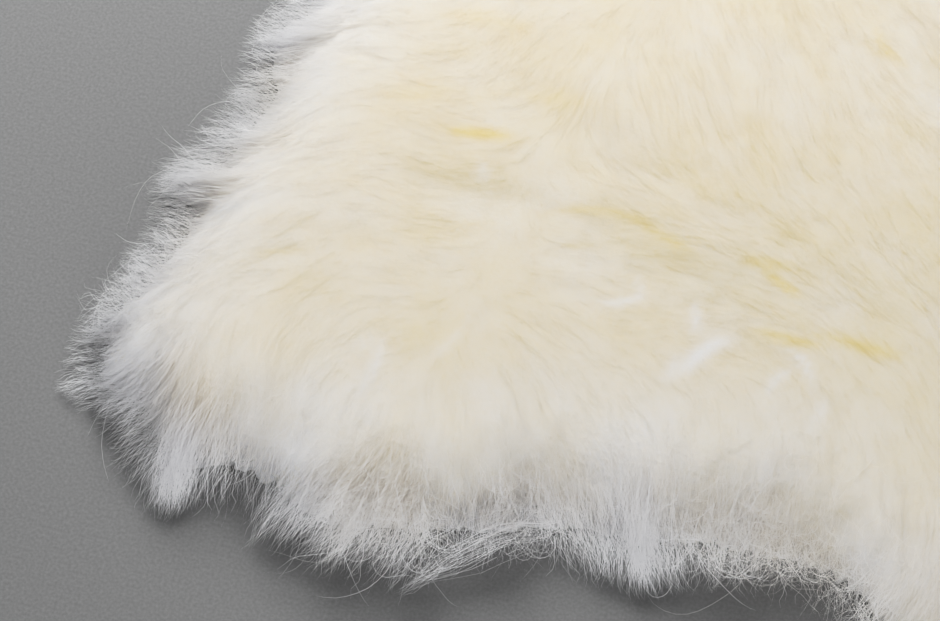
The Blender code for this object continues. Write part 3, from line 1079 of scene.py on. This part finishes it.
def buildHide():
    ring = smoothRing(softOutline, 0.012)
    x, y = slid(ring[:, 0], ring[:, 1], softInward, hideSheet["inset"], 0.01, 8)
    ring = smoothRing(np.stack([x, y], 1), 0.006)
    shape = bmesh.new()
    rim = [shape.verts.new((px, py, 0.0)) for px, py in ring]
    face = shape.faces.new(rim)
    if face.normal.z > 0:
        face.normal_flip()
    raised = bmesh.ops.extrude_face_region(shape, geom=[face])
    up = [v for v in raised["geom"] if isinstance(v, bmesh.types.BMVert)]
    bmesh.ops.translate(shape, verts=up, vec=(0, 0, hideSheet["thick"]))
    bmesh.ops.recalc_face_normals(shape, faces=shape.faces)
    mesh = bpy.data.meshes.new("hide")
    shape.to_mesh(mesh)
    shape.free()
    mesh.materials.append(hideFinish())
    piece = addObject("hide", mesh)
    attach(piece, "root")
    rolled = np.roll(ring, -1, 0)
    area = float(abs((ring[:, 0] * rolled[:, 1] - ring[:, 1] * rolled[:, 0]).sum()) / 2)
    wide, long = map(float, np.ptp(ring, axis=0))
    print("hide", round(wide, 3), "by", round(long, 3), "m, area", round(area, 3))
    return piece, (wide, long), area


# ---- floor, light and camera

studio = {
    "floorSize": 9.0,
    "floorColour": (0.285, 0.285, 0.285),
    "world": 0.13,
    "worldColour": (0.97, 0.985, 1.0, 1),
    "bounces": 10,  # white wool passes light on many times
    "contrast": (  # the camera's tone curve, from light in to light out
        (0.0, 0.0), (0.12, 0.087), (0.195, 0.168), (0.305, 0.305), (0.445, 0.5), (0.56, 0.61), (0.68, 0.7),
        (0.79, 0.775), (1.0, 0.9),
    ),
    # turn in degrees from straight behind the rug, distance over the floor, height, width, tallness, power
    "panels": {
        "key": (0, 1.00, 0.8, 0.6, 0.6, 18.3),
        "fill": (180, 1.5, 0.24, 1.8, 0.4, 23.0),
    },
}
shot = {
    "azimuth": 15.0,
    "elevation": 62.0,
    "distance": 1.3,
    "lens": 111.0,
    "aimAcross": 0.285,  # as shares of the rug's box, from its tail end's left corner
    "aimUp": 0.143,
    "aimHigh": 0.02,
}


def floorFinish():
    finish = Finish("plainFloor")
    grain = finish.noise(finish.place(), 700.0, 3.0)
    colour = finish.dimmed(studio["floorColour"], 0.77 + grain * 0.46)
    return finish.show(finish.surface(colour, 0.85, 0.2))


def buildStudio():
    half = studio["floorSize"] / 2
    mesh = bpy.data.meshes.new("floor")
    corners = [(-half, -half, 0), (half, -half, 0), (half, half, 0), (-half, half, 0)]
    mesh.from_pydata(corners, [], [(0, 1, 2, 3)])
    mesh.materials.append(floorFinish())
    floor = addObject("floor", mesh)
    floor.location.z = cadLow.z - 0.0003
    floor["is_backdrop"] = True

    world = bpy.data.worlds.new("studio")
    world.use_nodes = True
    background = world.node_tree.nodes["Background"].inputs
    background["Color"].default_value = studio["worldColour"]
    background["Strength"].default_value = studio["world"]
    scene.world = world


def buildShot():
    size = cadHigh - cadLow
    aim = Vector((cadLow.x + shot["aimAcross"] * size.x, cadLow.y + shot["aimUp"] * size.y, shot["aimHigh"]))
    around, up = math.radians(shot["azimuth"]), math.radians(shot["elevation"])
    back = Vector((math.sin(around) * math.cos(up), -math.cos(around) * math.cos(up), math.sin(up)))
    data = bpy.data.cameras.new("camera")
    data.lens = shot["lens"]
    data.clip_start = 0.05
    camera = addObject("camera", data)
    camera.location = aim + back * shot["distance"]
    camera.rotation_euler = (-back).to_track_quat("-Z", "Y").to_euler()
    scene.camera = camera

    for name, (turn, far, high, wide, tall, power) in studio["panels"].items():
        turn = around + math.radians(turn)
        data = bpy.data.lights.new(name, "AREA")
        data.shape, data.size, data.size_y, data.energy = "RECTANGLE", wide, tall, power
        panel = addObject(name, data)
        panel.location = (aim.x - math.sin(turn) * far, aim.y + math.cos(turn) * far, high)
        panel.rotation_euler = (Vector(panel.location) - aim).to_track_quat("Z", "Y").to_euler()
    view = scene.view_settings
    view.view_transform = "Standard"
    view.use_curve_mapping = True
    curve = view.curve_mapping.curves[3]
    for at, to in studio["contrast"][1:-1]:
        curve.points.new(at, to)
    curve.points[-1].location = studio["contrast"][-1]
    view.curve_mapping.update()
    scene.cycles.diffuse_bounces = studio["bounces"]


buildUnderwool()
# the pile's copy is darker and the fringe's lighter: partly whiter wool at the edge, partly painted light
# for fringe strands in shade
buildPile(woolFinish("woolPile", 0.3, 0.85, 0.06))
edgeFinish = woolFinish("woolFringe", 0.3, 0.93, 0.03)
buildEdge(fluff, ["fluff"], edgeFinish)
buildEdge(fringe, ["fringeTail", "fringeRight", "fringeLeft"], edgeFinish)
buildHairs("strays", strays, edgeFinish)
buildHairs("tangles", tangles, edgeFinish)
buildLocks(edgeFinish)
hide, flatSize, flatArea = buildHide()
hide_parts("sheepskin")
buildStudio()
buildShot()

low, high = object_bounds()
grownBy = [[round(v * 1000, 1) for v in step] for step in (low - cadLow, high - cadHigh)]
print("size over the frame, mm:", *grownBy)
